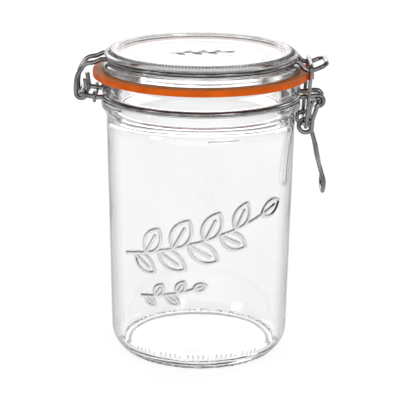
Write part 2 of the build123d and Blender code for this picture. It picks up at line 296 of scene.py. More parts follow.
def curve_points(a, b, c, d, count):
    """Points on a cubic Bezier from a to d, both included."""
    return np.array(bezier(a, b, c, d, count) + [d])


def leaf(base, direction, length, width):
    """The two sides and the midrib of a leaf that grows from base, as strokes. direction is in degrees."""
    along = np.array([math.cos(math.radians(direction)), math.sin(math.radians(direction))])
    across = np.array([-along[1], along[0]])
    base = np.array(base, float)
    tip = base + along * length
    strokes = []
    for side in (1, -1):
        near = base + along * length * leaf_near[0] + across * width * leaf_near[1] * side
        far = base + along * length * leaf_far[0] + across * width * leaf_far[1] * side
        strokes.append(curve_points(base, near, far, tip, 16))
    bend, end = (tip - along * length * share for share in (rib_bend, rib_end))
    strokes.append(curve_points(base, base + along * rib_start, bend, end, 8))
    return strokes


def sprig(start, bend, end, leaves, leaf_length, leaf_width):
    """A stem with leaves on both sides in turn, and one at its tip."""
    start, bend, end = (np.array(p, float) for p in (start, bend, end))
    pull, rest = bend * stem_bow, 1 - stem_bow
    stem = curve_points(start, pull + start * rest, pull + end * rest, end, 40)
    strokes = [stem]
    for number in range(leaves):
        place = first_leaf + leafy_part * number / leaves
        i = int(place * (len(stem) - 1))
        heading = math.degrees(math.atan2(*(stem[i + 1] - stem[i])[::-1]))
        side = 1 if number % 2 else -1
        size = 1 - leaf_shrink * abs(place - biggest_leaf)
        strokes += leaf(stem[i], heading + side * leaf_turn, leaf_length * size, leaf_width * size)
    heading = math.degrees(math.atan2(*(stem[-1] - stem[-2])[::-1]))
    return strokes + leaf(stem[-1], heading, leaf_length * tip_leaf, leaf_width * tip_leaf)


def segments_of(strokes):
    """Every short straight piece of the strokes, as rows of x0, z0, x1, z1."""
    return np.concatenate([np.concatenate([stroke[:-1], stroke[1:]], 1) for stroke in strokes])


sprig_strokes = sprig((-47, 65), (-7, 73), (37, 90), 8, 19.0, 12.0)
small_strokes = sprig((-35, 42.5), (-19, 44.5), (-3, 50), 4, 9.0, 6.0)
sprig_segments = segments_of(sprig_strokes + small_strokes)
tick_groups, ticks_in_group = 5, 5
first_tick, group_pitch, tick_pitch = -39.0, 16.5, 2.9
tick_foot, tick_top, last_tick_top = 8.5, 10.4, 8.9
tick_strokes = []
for group in range(tick_groups):
    for number in range(ticks_in_group):
        place = first_tick + group_pitch * group + tick_pitch * number
        top = tick_top if number < ticks_in_group - 1 else last_tick_top
        tick_strokes.append(np.array([(place, tick_foot), (place, top)]))
tick_segments = segments_of(tick_strokes)
print("sprig strokes", len(sprig_strokes) + len(small_strokes), "ticks", len(tick_strokes))


# %% Distance from a point on the wall to the nearest stroke
stroke_search = 3  # only points this near a stroke's box are measured
far_away = 1e9


def stroke_distance(across, height, segments):
    """The distance, in millimetres, from points on the unrolled wall to the nearest stroke.

    A point that no stroke comes near is left far away.
    """
    points = np.stack([across.ravel(), height.ravel()], 1)
    best = np.full(len(points), far_away)
    for x0, z0, x1, z1 in segments:
        near = np.flatnonzero(
            (points[:, 0] > min(x0, x1) - stroke_search)
            & (points[:, 0] < max(x0, x1) + stroke_search)
            & (points[:, 1] > min(z0, z1) - stroke_search)
            & (points[:, 1] < max(z0, z1) + stroke_search)
        )
        if not len(near):
            continue
        d = np.array([x1 - x0, z1 - z0])
        rel = points[near] - (x0, z0)
        t = np.clip(rel @ d / max(d @ d, 1e-12), 0, 1)
        best[near] = np.minimum(best[near], np.linalg.norm(rel - t[:, None] * d, axis=1))
    return best.reshape(across.shape)


def soft_step(value, low, high):
    """0 below low, 1 above high, and a smooth rise between them."""
    t = np.clip((value - low) / (high - low), 0, 1)
    return t * t * (3 - 2 * t)


print("relief helpers ready")

# %% [markdown]
# ## The glass body
#
# The outside runs from the stippled foot over a round heel, up a wall that widens slightly, over the bead,
# through the wire's groove and up the collar. The inside follows at wall thickness. The sprig, the fill line
# and a row of small ticks round the heel could be pieces laid on the wall, but pressed relief has no seam,
# so the points of the outside wall are moved out instead.

# %% Body profile
rim_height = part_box("jar_body")[1][2] / MM
heel_top = 13.0
wall_low, wall_high = 51.0, 53.4
wall_top = 131.0
inner_low, inner_high = 47.4, 49.8
collar = 56.1
bead = 56.4
mouth = 47.0
wire_height = 149.5
groove_half = 1.8
rim_round = 1.5
base_thickness = 5.0
relief_low, relief_high = 35.0, 106.0
fill_height, fill_half_band = 134.0, 1.2
fill_low, fill_high = fill_height - fill_half_band, fill_height + fill_half_band

outside = (
    run((0, 2.2), (38.5, 1.8), 4)
    + arc((38.5, 1.8), (40.2, 1.4), (41.2, 0.3), 0.5)
    + arc((41.2, 0.3), (41.5, 0.05), (41.8, 0), 0.3)
    + run((41.8, 0), (43.2, 0), 0.7)
    + arc((43.2, 0), (43.75, 0.12), (44.2, 0.42), 0.4)
    + arc((44.2, 0.42), (49.15, 5.8), (wall_low, heel_top), 0.45)
)
slope = (wall_high - wall_low) / (wall_top - heel_top)


def wall_radius(height):
    return wall_low + (height - heel_top) * slope


for low, high, step in (
    (heel_top, relief_low, 4.0),
    (relief_low, relief_high, 0.475),
    (relief_high, wall_top, 3.0),
):
    outside += run((wall_radius(low), low), (wall_radius(high), high), step)
groove_low, groove_high = wire_height - groove_half, wire_height + groove_half
rim_side = rim_height - rim_round
rim_cut = 0.44
outside += (
    run((wall_high, wall_top), (wall_high, fill_low), 0.9)
    + run((wall_high, fill_low), (wall_high, fill_high), 0.4)
    + run((wall_high, fill_high), (wall_high, 136.8), 0.8)
    + arc((wall_high, 136.8), (wall_high + 0.35, 138.7), (54.3, 140.4), 0.5)
    + arc((54.3, 140.4), (55.05, 141.7), (collar, 142.9), 0.5)
    + arc((collar, 142.9), (bead, 145.0), (collar, groove_low - 0.3), 0.6)
    + arc((collar, groove_low - 0.3), (collar - 0.1, groove_low - 0.1), (collar - 0.35, groove_low), 0.3)
    + arc((collar - 0.35, groove_low), (53.3, wire_height), (collar - 0.35, groove_high), 0.5)
    + arc((collar - 0.35, groove_high), (collar - 0.1, groove_high + 0.1), (collar, groove_high + 0.3), 0.3)
    + run((collar, groove_high + 0.3), (collar, rim_side), 0.9)
    + arc((collar, rim_side), (collar - rim_cut, rim_height - rim_cut), (collar - rim_round, rim_height), 0.4)
    + run((collar - rim_round, rim_height), (mouth + rim_round, rim_height), 2.0)
)
inside = (
    arc((mouth + rim_round, rim_height), (mouth + rim_cut, rim_height - rim_cut), (mouth, rim_side), 0.4)
    + run((mouth, rim_side), (mouth, 144), 2.5)
    + bezier((mouth, 144), (mouth, 138), (inner_high, 136), (inner_high, 129), 10)
    + run((inner_high, 129), (inner_low, 10.0), 5.0)
    + arc((inner_low, 10.0), (46.1, 6.5), (42.8, base_thickness), 0.7)
    + run((42.8, base_thickness), (0, base_thickness - 0.4), 5.0)
    + [(0, base_thickness - 0.4)]
)
print("body profile points", len(outside) + len(inside))

# %% Columns of the body
front = -90  # degrees round the axis, where the camera stands
fine_half, fine_step = 58, 0.5
coarse_columns = 47
fine_angles = np.radians(np.arange(front - fine_half, front + fine_half, fine_step))
coarse_angles = np.linspace(front + fine_half, front + 360 - fine_half, coarse_columns, endpoint=False)
body_angles = np.concatenate([fine_angles, np.radians(coarse_angles)])
print("body columns", len(body_angles))

# %% Body mesh
outside_rows = len(outside) - 1
unrolled_radius = 52.4
fill_line = (4.5, 20.6)
relief_height = 0.7
stroke_half, stroke_edge = 1.05, 0.75
thin_inset = 0.68  # how much narrower than the sprig the fill line and the ticks are
no_stroke = 9.0
# Painted shade on the steep sides of the strokes: how dark, and how much darker on the upper left sides.
shade_middle, shade_swing, shade_least = 0.62, 0.38, 0.25
upper_share, left_share = 0.85, 0.5
steep_top, steep_fall = 1.45, 1.3
outer_from, outer_full = 42.8, 43.6
relief_from, relief_to = 7, 141
wobble_depth = 0.05
wobble_from, wobble_to = 20, 130
relief_mark = {}


def body_shape(radius, height, angle):
    """Pushes the sprig, the fill line and the ticks out of the outside wall, which wobbles very slightly.

    It also keeps two marks for the glass: the painted shade on the steep side of a stroke, more on the upper
    left sides, and which points are on the jar's outside, past the foot's inner edge.
    """
    on_outside = np.arange(radius.shape[0])[:, None] < outside_rows
    turn = (angle + math.pi / 2 + math.pi) % (2 * math.pi) - math.pi
    across = turn * unrolled_radius
    middle = (fill_line[0] + fill_line[1]) / 2
    fill_half = (fill_line[1] - fill_line[0]) / 2
    from_line = np.hypot(np.maximum(np.abs(across - middle) - fill_half, 0), height - fill_height)
    thin = np.minimum(from_line, stroke_distance(across, height, tick_segments)) + thin_inset
    distance = np.minimum(stroke_distance(across, height, sprig_segments), thin)
    distance = np.where(on_outside, distance, no_stroke)
    raised = relief_height * (1 - soft_step(distance, stroke_half - stroke_edge, stroke_half))
    # Painted shade: a dark mark on the steep sides of a stroke, most on their upper left sides.
    side = (distance - (stroke_half - stroke_edge / 2)) / stroke_edge
    rise = np.gradient(height, axis=0)
    upward = np.gradient(distance, axis=0) / np.where(np.abs(rise) < 0.05, 1.0, rise)
    rightward = np.gradient(distance, axis=1) / np.gradient(across, axis=1)
    shade = shade_middle + shade_swing * (upper_share * upward - left_share * rightward)
    shade = np.clip(shade, shade_least, 1)
    relief_mark["steep"] = np.clip(steep_top - np.abs(side) * steep_fall, 0, 1) * shade
    relief_mark["outer"] = on_outside * soft_step(radius, outer_from, outer_full)
    in_wall = on_outside & (height > relief_from) & (height < relief_to)
    wobble = wobble_depth * np.sin(3 * angle + height * 0.05) * np.sin(height * 0.11 + 1.3)
    return radius + in_wall * raised + wobble * (height > wobble_from) * (height < wobble_to), height


jar_glass = turned("jar_glass", outside + inside, body_angles, body_shape)
on_axis = (0.0, 0.0)
for mark, values in relief_mark.items():
    kept = jar_glass.data.attributes.new(mark, "FLOAT", "POINT")
    kept.data.foreach_set("value", np.append(values.ravel(), on_axis).astype(np.float32))
print("body", len(jar_glass.data.polygons), "faces")

# %% [markdown]
# ## The stippled foot
#
# Glass makers roughen the ring that a jar stands on, so that hot glass touches the conveyor at points only.
# The roughness is a scatter of small glass domes low on the heel, closer together towards the foot. A seeded
# random draw gives their places further down. Geometry Nodes set a dome on each place and vary its size,
# because one small tree is easier to change than hundreds of modelled domes.

# %% Helpers for Geometry Nodes
def link(tree, out_socket, in_socket):
    tree.links.new(out_socket, in_socket)


def geometry_tree(name, sizes):
    """A tree that takes and gives geometry and has a named input for each size, and its input node."""
    tree = bpy.data.node_groups.new(name, "GeometryNodeTree")
    tree.interface.new_socket(name="Geometry", in_out="INPUT", socket_type="NodeSocketGeometry")
    tree.interface.new_socket(name="Geometry", in_out="OUTPUT", socket_type="NodeSocketGeometry")
    for size, value in sizes.items():
        socket = tree.interface.new_socket(name=size, in_out="INPUT", socket_type="NodeSocketFloat")
        socket.default_value = value
    return tree, tree.nodes.new("NodeGroupInput")


def end_tree(tree, geometry, material):
    """Ends a tree: makes its instances real, gives them a finish and hands them out."""
    realize = tree.nodes.new("GeometryNodeRealizeInstances")
    finish = tree.nodes.new("GeometryNodeSetMaterial")
    finish.inputs["Material"].default_value = material
    group_out = tree.nodes.new("NodeGroupOutput")
    link(tree, geometry, realize.inputs["Geometry"])
    link(tree, realize.outputs["Geometry"], finish.inputs["Geometry"])
    link(tree, finish.outputs["Geometry"], group_out.inputs["Geometry"])


def combined(tree, operation, first, second=0.0):
    """One Math node, in a tree of either kind. Each input is a number or the output of another node."""
    node = tree.nodes.new("ShaderNodeMath")
    node.operation = operation
    for number, value in enumerate((first, second)):
        if isinstance(value, (int, float)):
            node.inputs[number].default_value = value
        else:
            link(tree, value, node.inputs[number])
    return node.outputs["Value"]


def out_from_axis(tree, x, y):
    """The distance from the jar's axis of a point whose x and y are outputs of other nodes."""
    squares = combined(tree, "ADD", combined(tree, "MULTIPLY", x, x), combined(tree, "MULTIPLY", y, y))
    return combined(tree, "SQRT", squares)


def grown(seed_object, tree, sizes, name):
    """Runs a tree on an object and returns the result as a plain mesh object. The seed object is removed.

    A modifier knows an input by its identifier, not by its name.
    """
    modifier = seed_object.modifiers.new("grow", "NODES")
    modifier.node_group = tree
    for socket in tree.interface.items_tree:
        if socket.name in sizes:
            modifier[socket.identifier] = sizes[socket.name]
    bpy.context.view_layer.update()
    evaluated = seed_object.evaluated_get(bpy.context.evaluated_depsgraph_get())
    mesh = bpy.data.meshes.new_from_object(evaluated)
    mesh.name = name
    seed_object.modifiers.remove(modifier)
    bpy.data.objects.remove(seed_object)
    obj = bpy.data.objects.new(name, mesh)
    scene.collection.objects.link(obj)
    return obj


print("tree helpers ready")


# %% Stipple tree
dome_segments, dome_rings = 8, 5
smallest_dome, largest_dome = 0.75, 1.15
dome_seed = 4


def stipple_tree(material, sizes):
    """A small ball of glass on every vertex of the mesh that it is given. Part of it sinks in the heel."""
    tree, group_in = geometry_tree("stipple", sizes)
    points = tree.nodes.new("GeometryNodeMeshToPoints")
    dome = tree.nodes.new("GeometryNodeMeshUVSphere")
    dome.inputs["Segments"].default_value = dome_segments
    dome.inputs["Rings"].default_value = dome_rings
    smooth = tree.nodes.new("GeometryNodeSetShadeSmooth")
    vary = tree.nodes.new("FunctionNodeRandomValue")
    vary.inputs[2].default_value = smallest_dome
    vary.inputs[3].default_value = largest_dome
    vary.inputs["Seed"].default_value = dome_seed
    instance = tree.nodes.new("GeometryNodeInstanceOnPoints")
    link(tree, group_in.outputs["Geometry"], points.inputs["Mesh"])
    link(tree, group_in.outputs["Dome radius"], dome.inputs["Radius"])
    link(tree, dome.outputs["Mesh"], smooth.inputs["Geometry"])
    link(tree, points.outputs["Points"], instance.inputs["Points"])
    link(tree, smooth.outputs["Geometry"], instance.inputs["Instance"])
    link(tree, vary.outputs[1], instance.inputs["Scale"])
    end_tree(tree, instance.outputs["Instances"], material)
    return tree


print("stipple tree ready")

# %% [markdown]
# ## Finishes
#
# Every finish is a Principled shader with its fixed numbers on its own sockets. Noise on object coordinates
# breaks up roughness and surface, at the scale that the real material shows: slow ripples in glass, a fine
# matt skin on rubber, and fine drawing marks on wire.

# %% Material helpers
def noise(material, scale, detail, stretch=(1, 1, 1)):
    """A noise value from 0 to 1, on object coordinates."""
    tree = material.node_tree
    place = tree.nodes.new("ShaderNodeTexCoord")
    mapping = tree.nodes.new("ShaderNodeMapping")
    mapping.inputs["Scale"].default_value = stretch
    texture = tree.nodes.new("ShaderNodeTexNoise")
    texture.inputs["Scale"].default_value = scale
    texture.inputs["Detail"].default_value = detail
    link(tree, place.outputs["Object"], mapping.inputs["Vector"])
    link(tree, mapping.outputs["Vector"], texture.inputs["Vector"])
    return texture.outputs["Fac"]


def step_between(material, value, low, high, low_value=0.0, high_value=1.0):
    """Goes from one value to another while the input goes from low to high."""
    node = material.node_tree.nodes.new("ShaderNodeMapRange")
    node.inputs["From Min"].default_value = low
    node.inputs["From Max"].default_value = high
    node.inputs["To Min"].default_value = low_value
    node.inputs["To Max"].default_value = high_value
    link(material.node_tree, value, node.inputs["Value"])
    return node.outputs["Result"]


def blend_colors(material, value, first, second, low=0.35, high=0.65):
    """A colour that goes from first to second while the input goes from low to high."""
    ramp = material.node_tree.nodes.new("ShaderNodeValToRGB")
    ramp.color_ramp.elements[0].position = low
    ramp.color_ramp.elements[0].color = (*first, 1)
    ramp.color_ramp.elements[1].position = high
    ramp.color_ramp.elements[1].color = (*second, 1)
    link(material.node_tree, value, ramp.inputs["Fac"])
    return ramp.outputs["Color"]


def bump(material, shader, height, distance, strength):
    """Breaks the shading up by a height from 0 to 1 that stands for this distance in metres."""
    node = material.node_tree.nodes.new("ShaderNodeBump")
    node.inputs["Distance"].default_value = distance
    node.inputs["Strength"].default_value = strength
    link(material.node_tree, height, node.inputs["Height"])
    link(material.node_tree, node.outputs["Normal"], shader.inputs["Normal"])


def set_socket(material, shader, socket, value):
    link(material.node_tree, value, shader.inputs[socket])


print("material helpers ready")

# %% [markdown]
# ## Clear glass
#
# A glass wall greys at its two edges, because there it bends the dark sides of a room towards the eye. The
# floor here is white all round, so a grazing tint on the outer wall stands in for that room, as painted
# shade.
# The steep sides of a raised stroke get painted shade too, and they carry it as a mark that the mesh keeps.
# The lid's rim band, where light is caught between two slopes, gets painted shade by its height, and the heel
# a painted mottled shade. That band and the mottled heel are tinted only where light enters from the air, or
# they would show again on the far side, seen through the near one.

# %% Greys and clear colours of the glass
# Pairs of how far the surface turns away from the viewer and the grey of painted shade that tints it there.
edge_grey = (
    (0.50, 1.0), (0.575, 0.82), (0.60, 0.74), (0.63, 0.57), (0.66, 0.44), (0.72, 0.31), (0.77, 0.24),
    (0.82, 0.04), (0.90, 0.0), (1.0, 0.0),
)
rim_grey = ((0.1, 1.0), (0.28, 0.75), (0.48, 0.4), (0.68, 0.14), (0.85, 0.0), (1.0, 0.0))
collar_grey = ((0.12, 1.0), (0.28, 0.88), (0.4, 0.74), (0.55, 0.55), (0.67, 0.4), (0.85, 0.22), (1.0, 0.15))
clear_low, clear_high = (0.935, 0.937, 0.936), (0.955, 0.957, 0.956)
glass_grain = 0.03
black = (0.0, 0.0, 0.0)


# %% Glass helpers
def grey(level):
    return (level, level, level)


def from_axis(material):
    """The distance from the jar's axis and the height, on object coordinates."""
    tree = material.node_tree
    place = tree.nodes.new("ShaderNodeTexCoord")
    split = tree.nodes.new("ShaderNodeSeparateXYZ")
    link(tree, place.outputs["Object"], split.inputs["Vector"])
    return out_from_axis(tree, split.outputs["X"], split.outputs["Y"]), split.outputs["Z"]


def from_outside(material):
    """1 where light meets the surface from the air, 0 where it meets it from within the glass."""
    from_within = material.node_tree.nodes.new("ShaderNodeNewGeometry").outputs["Backfacing"]
    return combined(material.node_tree, "SUBTRACT", 1.0, from_within)


def turned_away(material):
    """How far the surface turns away from the viewer, from 0 to 1."""
    facing = material.node_tree.nodes.new("ShaderNodeLayerWeight")
    facing.inputs["Blend"].default_value = 0.5
    return facing.outputs["Facing"]


def kept_mark(material, name):
    """A number that the mesh keeps at each of its points."""
    mark = material.node_tree.nodes.new("ShaderNodeAttribute")
    mark.attribute_name = name
    return mark.outputs["Fac"]


def product(material, *values):
    """All the values multiplied together."""
    result = values[0]
    for value in values[1:]:
        result = combined(material.node_tree, "MULTIPLY", result, value)
    return result


def grey_ramp(material, value, stops):
    """A grey that goes through the stops, which are pairs of a place and a level."""
    ramp = material.node_tree.nodes.new("ShaderNodeValToRGB")
    points = ramp.color_ramp.elements
    while len(points) < len(stops):
        points.new(0.5)
    for point, (place, level) in zip(points, stops):
        point.position = place
        point.color = (*grey(level), 1)
    link(material.node_tree, value, ramp.inputs["Fac"])
    return ramp.outputs["Color"]


def tinted(material, base, tint, amount, way="MULTIPLY"):
    """Multiplies one colour by another, as far as the amount says. MIX as the way covers it instead."""
    mix = material.node_tree.nodes.new("ShaderNodeMix")
    mix.data_type = "RGBA"
    mix.blend_type = way
    for value, socket in ((amount, "Factor"), (base, "A"), (tint, "B")):
        if isinstance(value, float):
            mix.inputs[socket].default_value = value
        elif isinstance(value, tuple):
            mix.inputs[socket].default_value = (*value, 1)
        else:
            link(material.node_tree, value, mix.inputs[socket])
    return mix.outputs["Result"]


def rippled_glass(name, ripple_scale, ripple_depth):
    """The material and the shader of glass with slow ripples, drawn out upwards."""
    material, shader = finish_material(
        name, {"Transmission Weight": 1.0, "IOR": 1.5, "Metallic": 0.0, "Roughness": 0.0}
    )
    bump(material, shader, noise(material, ripple_scale, 2.0, (1, 1, 0.45)), ripple_depth, 1.0)
    return material, shader


def clear_color(material):
    """The nearly white colour of the glass itself, which varies very slightly."""
    return blend_colors(material, noise(material, 25.0, 2.0), clear_low, clear_high)


def grain(material):
    """The faint, uneven roughness of pressed glass."""
    return step_between(material, noise(material, 900.0, 3.0), 0.0, 1.0, 0.0, glass_grain)


print("glass helpers ready")

# %% Glass of the body
body_glass, body_shader = rippled_glass("clear_glass_body", 22.0, 0.0006)
body_out, body_up = from_axis(body_glass)
body_turned = turned_away(body_glass)
outer_side = kept_mark(body_glass, "outer")
body_color = clear_color(body_glass)
body_color = tinted(body_glass, body_color, grey_ramp(body_glass, body_turned, edge_grey), outer_side)

# Painted shade on the heel: a mottled dark grey, for how its stipple scatters light.
mottle_full, mottle_end = 3.2 * MM, 5.6 * MM
on_heel = step_between(body_glass, body_up, mottle_end, mottle_full)
heel_shade_part = product(body_glass, on_heel, outer_side, from_outside(body_glass))
mottle_noise = noise(body_glass, 700.0, 1.0)
heel_shade_mottle = blend_colors(body_glass, mottle_noise, grey(0.1), grey(0.8), 0.42, 0.58)
body_color = tinted(body_glass, body_color, heel_shade_mottle, heel_shade_part)

# Painted shade on the collar: its edges grey sooner than the wall's, and it darkens under the seal.
in_collar = step_between(body_glass, body_up, 140.5 * MM, 143.0 * MM)
outer_collar = step_between(body_glass, body_out, 53.0 * MM, 54.5 * MM)
collar_part = product(body_glass, in_collar, outer_collar)
body_color = tinted(body_glass, body_color, grey_ramp(body_glass, body_turned, collar_grey), collar_part)
under_seal = step_between(body_glass, body_up, 151.5 * MM, 160.2 * MM)
collar_seal_shade = grey_ramp(body_glass, under_seal, ((0.0, 1.0), (0.6, 0.9), (1.0, 0.66)))
body_color = tinted(body_glass, body_color, collar_seal_shade, outer_collar)

# Painted shade on the steep sides of the raised strokes, darker on their upper left sides.
body_color = tinted(body_glass, body_color, black, kept_mark(body_glass, "steep"))
set_socket(body_glass, body_shader, "Base Color", body_color)
set_socket(body_glass, body_shader, "Roughness", grain(body_glass))
jar_glass.data.materials.append(body_glass)
print("glass", body_glass.name)

# %% Glass of the lid
lid_finish, lid_shader = rippled_glass("clear_glass_lid", 30.0, 0.0004)
lid_out, lid_up = from_axis(lid_finish)
lid_turned = turned_away(lid_finish)
lid_color = clear_color(lid_finish)

# Painted shade on the band between the lid's top and its wire, greyest part way up, by height.
band_shade_stops = ((0.0, 1.0), (0.12, 0.6), (0.45, 0.42), (0.7, 0.5), (0.85, 0.8), (0.97, 1.0))
up_band = step_between(lid_finish, lid_up, 168.5 * MM, 174.9 * MM)
outer_part = step_between(lid_finish, lid_out, 49.0 * MM, 50.5 * MM)
band_part = product(lid_finish, outer_part, from_outside(lid_finish))
lid_color = tinted(lid_finish, lid_color, grey_ramp(lid_finish, up_band, band_shade_stops), band_part)

# Painted shade on the flange, down to the seal, greying at its edges.
in_flange = step_between(lid_finish, lid_up, 168.9 * MM, 168.4 * MM)
outer_flange = step_between(lid_finish, lid_out, 52.5 * MM, 53.0 * MM)
flange_part = product(lid_finish, in_flange, outer_flange)
lid_color = tinted(lid_finish, lid_color, grey_ramp(lid_finish, lid_turned, collar_grey), flange_part)

# Painted shade in the valleys of the knurling, and greying at the edges of the whole rim.
lid_color = tinted(lid_finish, lid_color, black, kept_mark(lid_finish, "valley"))
rim_part = step_between(lid_finish, lid_out, 50.7 * MM, 51.3 * MM)
lid_color = tinted(lid_finish, lid_color, grey_ramp(lid_finish, lid_turned, rim_grey), rim_part)
set_socket(lid_finish, lid_shader, "Base Color", lid_color)

# The top is a little rougher than the rest.
flat_roughness = 0.08
on_top = step_between(lid_finish, lid_up, 173.0 * MM, 173.1 * MM, 0.0, flat_roughness)
lid_roughness = combined(lid_finish.node_tree, "ADD", on_top, grain(lid_finish))
set_socket(lid_finish, lid_shader, "Roughness", lid_roughness)
print("glass", lid_finish.name)

# %% Grow the stipple on the foot
stipple_count = 500
foot_radius = 43.8
stipple_low, stipple_top = 0.3, 2.0
stipple_crowding = 1.4  # above 1, the domes crowd towards the foot
dome_radius = 0.62
dome_sink, dome_lift = 0.25, 0.35
scatter = random.Random(11)
heel_arc = [point for point in outside if point[0] > foot_radius and stipple_low < point[1] < stipple_top]
stipple_points = []
for number in range(stipple_count):
    place = scatter.random() ** stipple_crowding * (len(heel_arc) - 1.001)
    here, after = heel_arc[int(place)], heel_arc[int(place) + 1]
    part = place - int(place)
    radius = here[0] + (after[0] - here[0]) * part - dome_sink
    height = here[1] + (after[1] - here[1]) * part + dome_lift
    turn = 2 * math.pi * scatter.random()
    stipple_points.append((radius * math.cos(turn) * MM, radius * math.sin(turn) * MM, height * MM))
stipple_seed = new_mesh_object("stipple_seed", stipple_points, [])
foot_glass, foot_shader = rippled_glass("stippled_foot_glass", 40.0, 0.0004)
# Painted shade: the domes are tinted a mottled dark grey, for how the stippled glass scatters light.
foot_shaded_color = blend_colors(foot_glass, noise(foot_glass, 500.0, 2.0), grey(0.04), (0.6, 0.61, 0.61))
set_socket(foot_glass, foot_shader, "Base Color", foot_shaded_color)
dome_sizes = {"Dome radius": dome_radius * MM}
foot_stipple = grown(stipple_seed, stipple_tree(foot_glass, dome_sizes), dome_sizes, "foot_stipple")
print("stipple domes", len(stipple_points), "faces", len(foot_stipple.data.polygons))

# %% [markdown]
# ## The glass lid
#
# The lid is a thick pressed disc. Its edge carries fine knurling so that wet hands can turn it, the lid wire
# lies in the groove below, and a lip under the seat finds the jar's mouth. The disc is turned like the body.
# The knurling follows a rule, a tooth about every two millimetres, so Geometry Nodes move points to cut it.

# %% Lid profile and mesh
lid_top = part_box("glass_lid")[1][2] / MM
seat = rim_height + 3.9
lid_wire_height = 170.4
lid_band, lid_flange = 54.5, 56.0
recess_depth = 1.6
recess = lid_top - recess_depth
lid_under = 168.2
lip_foot = 156.8

lid_profile = (
    run((0, recess + 0.25), (46.6, recess), 10.0)
    + arc((46.6, recess), (47.0, lid_top - 1.4), (47.15, lid_top - 1.0), 0.2)
    + arc((47.15, lid_top - 0.6), (47.3, lid_top - 0.2), (47.8, lid_top - 0.01), 0.2)
    + run((48.4, lid_top), (50.8, lid_top), 1.3)
    + arc((50.8, lid_top - 0.01), (51.5, lid_top - 0.2), (52.0, lid_top - 0.6), 0.25)
    + run((52.0, lid_top - 0.6), (53.9, lid_top - 1.9), 0.5)
    + arc((53.9, lid_top - 1.9), (54.35, lid_top - 2.3), (lid_band, lid_top - 2.8), 0.2)
    + arc((lid_band, lid_top - 2.8), (54.3, lid_top - 3.25), (53.7, lid_top - 3.5), 0.2)
    + arc((53.7, lid_top - 3.5), (51.2, lid_wire_height), (53.2, 168.7), 0.4)
    + run((53.2, 168.7), (54.3, 168.2), 0.4)
    + arc((54.3, 168.2), (55.5, 167.4), (lid_flange - 0.05, 166.1), 0.35)
    + run((lid_flange - 0.05, 166.1), (lid_flange, 164.8), 0.5)
    + arc((lid_flange, 164.8), (55.8, 164.3), (55.3, seat), 0.3)
    + run((55.3, seat), (45.6, seat), 4.0)
    + run((45.6, seat), (44.75, lip_foot + 1.1), 0.8)
    + arc((44.75, lip_foot + 1.1), (42.7, lip_foot), (40.7, lip_foot + 1.0), 0.6)
    + bezier((40.7, lip_foot + 1.0), (40.2, 166.2), (37.7, lid_under), (32.7, lid_under), 12)
    + run((32.7, lid_under), (0, lid_under + 0.3), 9.0)
    + [(0, lid_under + 0.3)]
)
teeth = 180
steps_per_tooth = 5
lid_angles = np.linspace(0, 2 * math.pi, teeth * steps_per_tooth, endpoint=False)
lid_blank = turned("lid_blank", lid_profile, lid_angles)
lid_blank.data.materials.append(lid_finish)
print("lid blank", len(lid_blank.data.polygons), "faces")


# %% Knurling tree
valley_width = 0.7  # below 1, the valleys are wider than the teeth


def knurl_tree(material, sizes):
    """Pulls the points of a height band in towards the axis, in even teeth round it.

    It keeps how deep in a valley each point lies, as a mark for the painted shade in the valleys.
    """
    tree, group_in = geometry_tree("knurl", sizes)
    size = group_in.outputs
    position = tree.nodes.new("GeometryNodeInputPosition")
    split = tree.nodes.new("ShaderNodeSeparateXYZ")
    link(tree, position.outputs["Position"], split.inputs["Vector"])
    x, y, z = (split.outputs[axis] for axis in "XYZ")

    turn = combined(tree, "MULTIPLY", combined(tree, "ARCTAN2", y, x), size["Teeth"])
    wave = combined(tree, "SUBTRACT", 1.0, combined(tree, "COSINE", turn))
    valley = combined(tree, "POWER", combined(tree, "MULTIPLY", wave, 0.5), valley_width)
    above = combined(tree, "GREATER_THAN", z, size["Band bottom"])
    below = combined(tree, "LESS_THAN", z, size["Band top"])
    radius = out_from_axis(tree, x, y)
    outer = combined(tree, "GREATER_THAN", radius, size["Inner radius"])
    in_band = combined(tree, "MULTIPLY", combined(tree, "MULTIPLY", above, below), outer)
    pull = combined(tree, "MULTIPLY", combined(tree, "MULTIPLY", valley, size["Depth"]), in_band)
    share = combined(tree, "DIVIDE", pull, radius)

    flat = tree.nodes.new("ShaderNodeCombineXYZ")
    link(tree, x, flat.inputs["X"])
    link(tree, y, flat.inputs["Y"])
    inward = tree.nodes.new("ShaderNodeVectorMath")
    inward.operation = "SCALE"
    link(tree, flat.outputs["Vector"], inward.inputs[0])
    link(tree, combined(tree, "MULTIPLY", share, -1.0), inward.inputs["Scale"])
    move = tree.nodes.new("GeometryNodeSetPosition")
    link(tree, group_in.outputs["Geometry"], move.inputs["Geometry"])
    link(tree, inward.outputs["Vector"], move.inputs["Offset"])
    keep = tree.nodes.new("GeometryNodeStoreNamedAttribute")
    keep.data_type = "FLOAT"
    keep.domain = "POINT"
    keep.inputs["Name"].default_value = "valley"
    link(tree, combined(tree, "MULTIPLY", valley, in_band), keep.inputs["Value"])
    link(tree, move.outputs["Geometry"], keep.inputs["Geometry"])
    end_tree(tree, keep.outputs["Geometry"], material)
    return tree


print("knurling tree ready")

# %% Cut the knurling
knurl_depth = 0.85
knurl_low, knurl_high = lid_top - 1.3, lid_top + 1.0
knurl_reach = 50.5
knurl_sizes = {
    "Teeth": float(teeth),
    "Depth": knurl_depth * MM,
    "Band bottom": knurl_low * MM,
    "Band top": knurl_high * MM,
    "Inner radius": knurl_reach * MM,
}
lid_glass = grown(lid_blank, knurl_tree(lid_finish, knurl_sizes), knurl_sizes, "lid_glass")
print("lid", len(lid_glass.data.polygons), "faces")

# %% [markdown]
# ## A small sprig on the lid
#
# The lid's flat carries a small raised mark of its own. It is the same kind of sprig, drawn as thin rods of
# glass that lie half sunk in the surface. The strokes become edges of a mesh, and Geometry Nodes turn the
# edges into rods.

# %% Sprig on the lid
rod_sides = 8


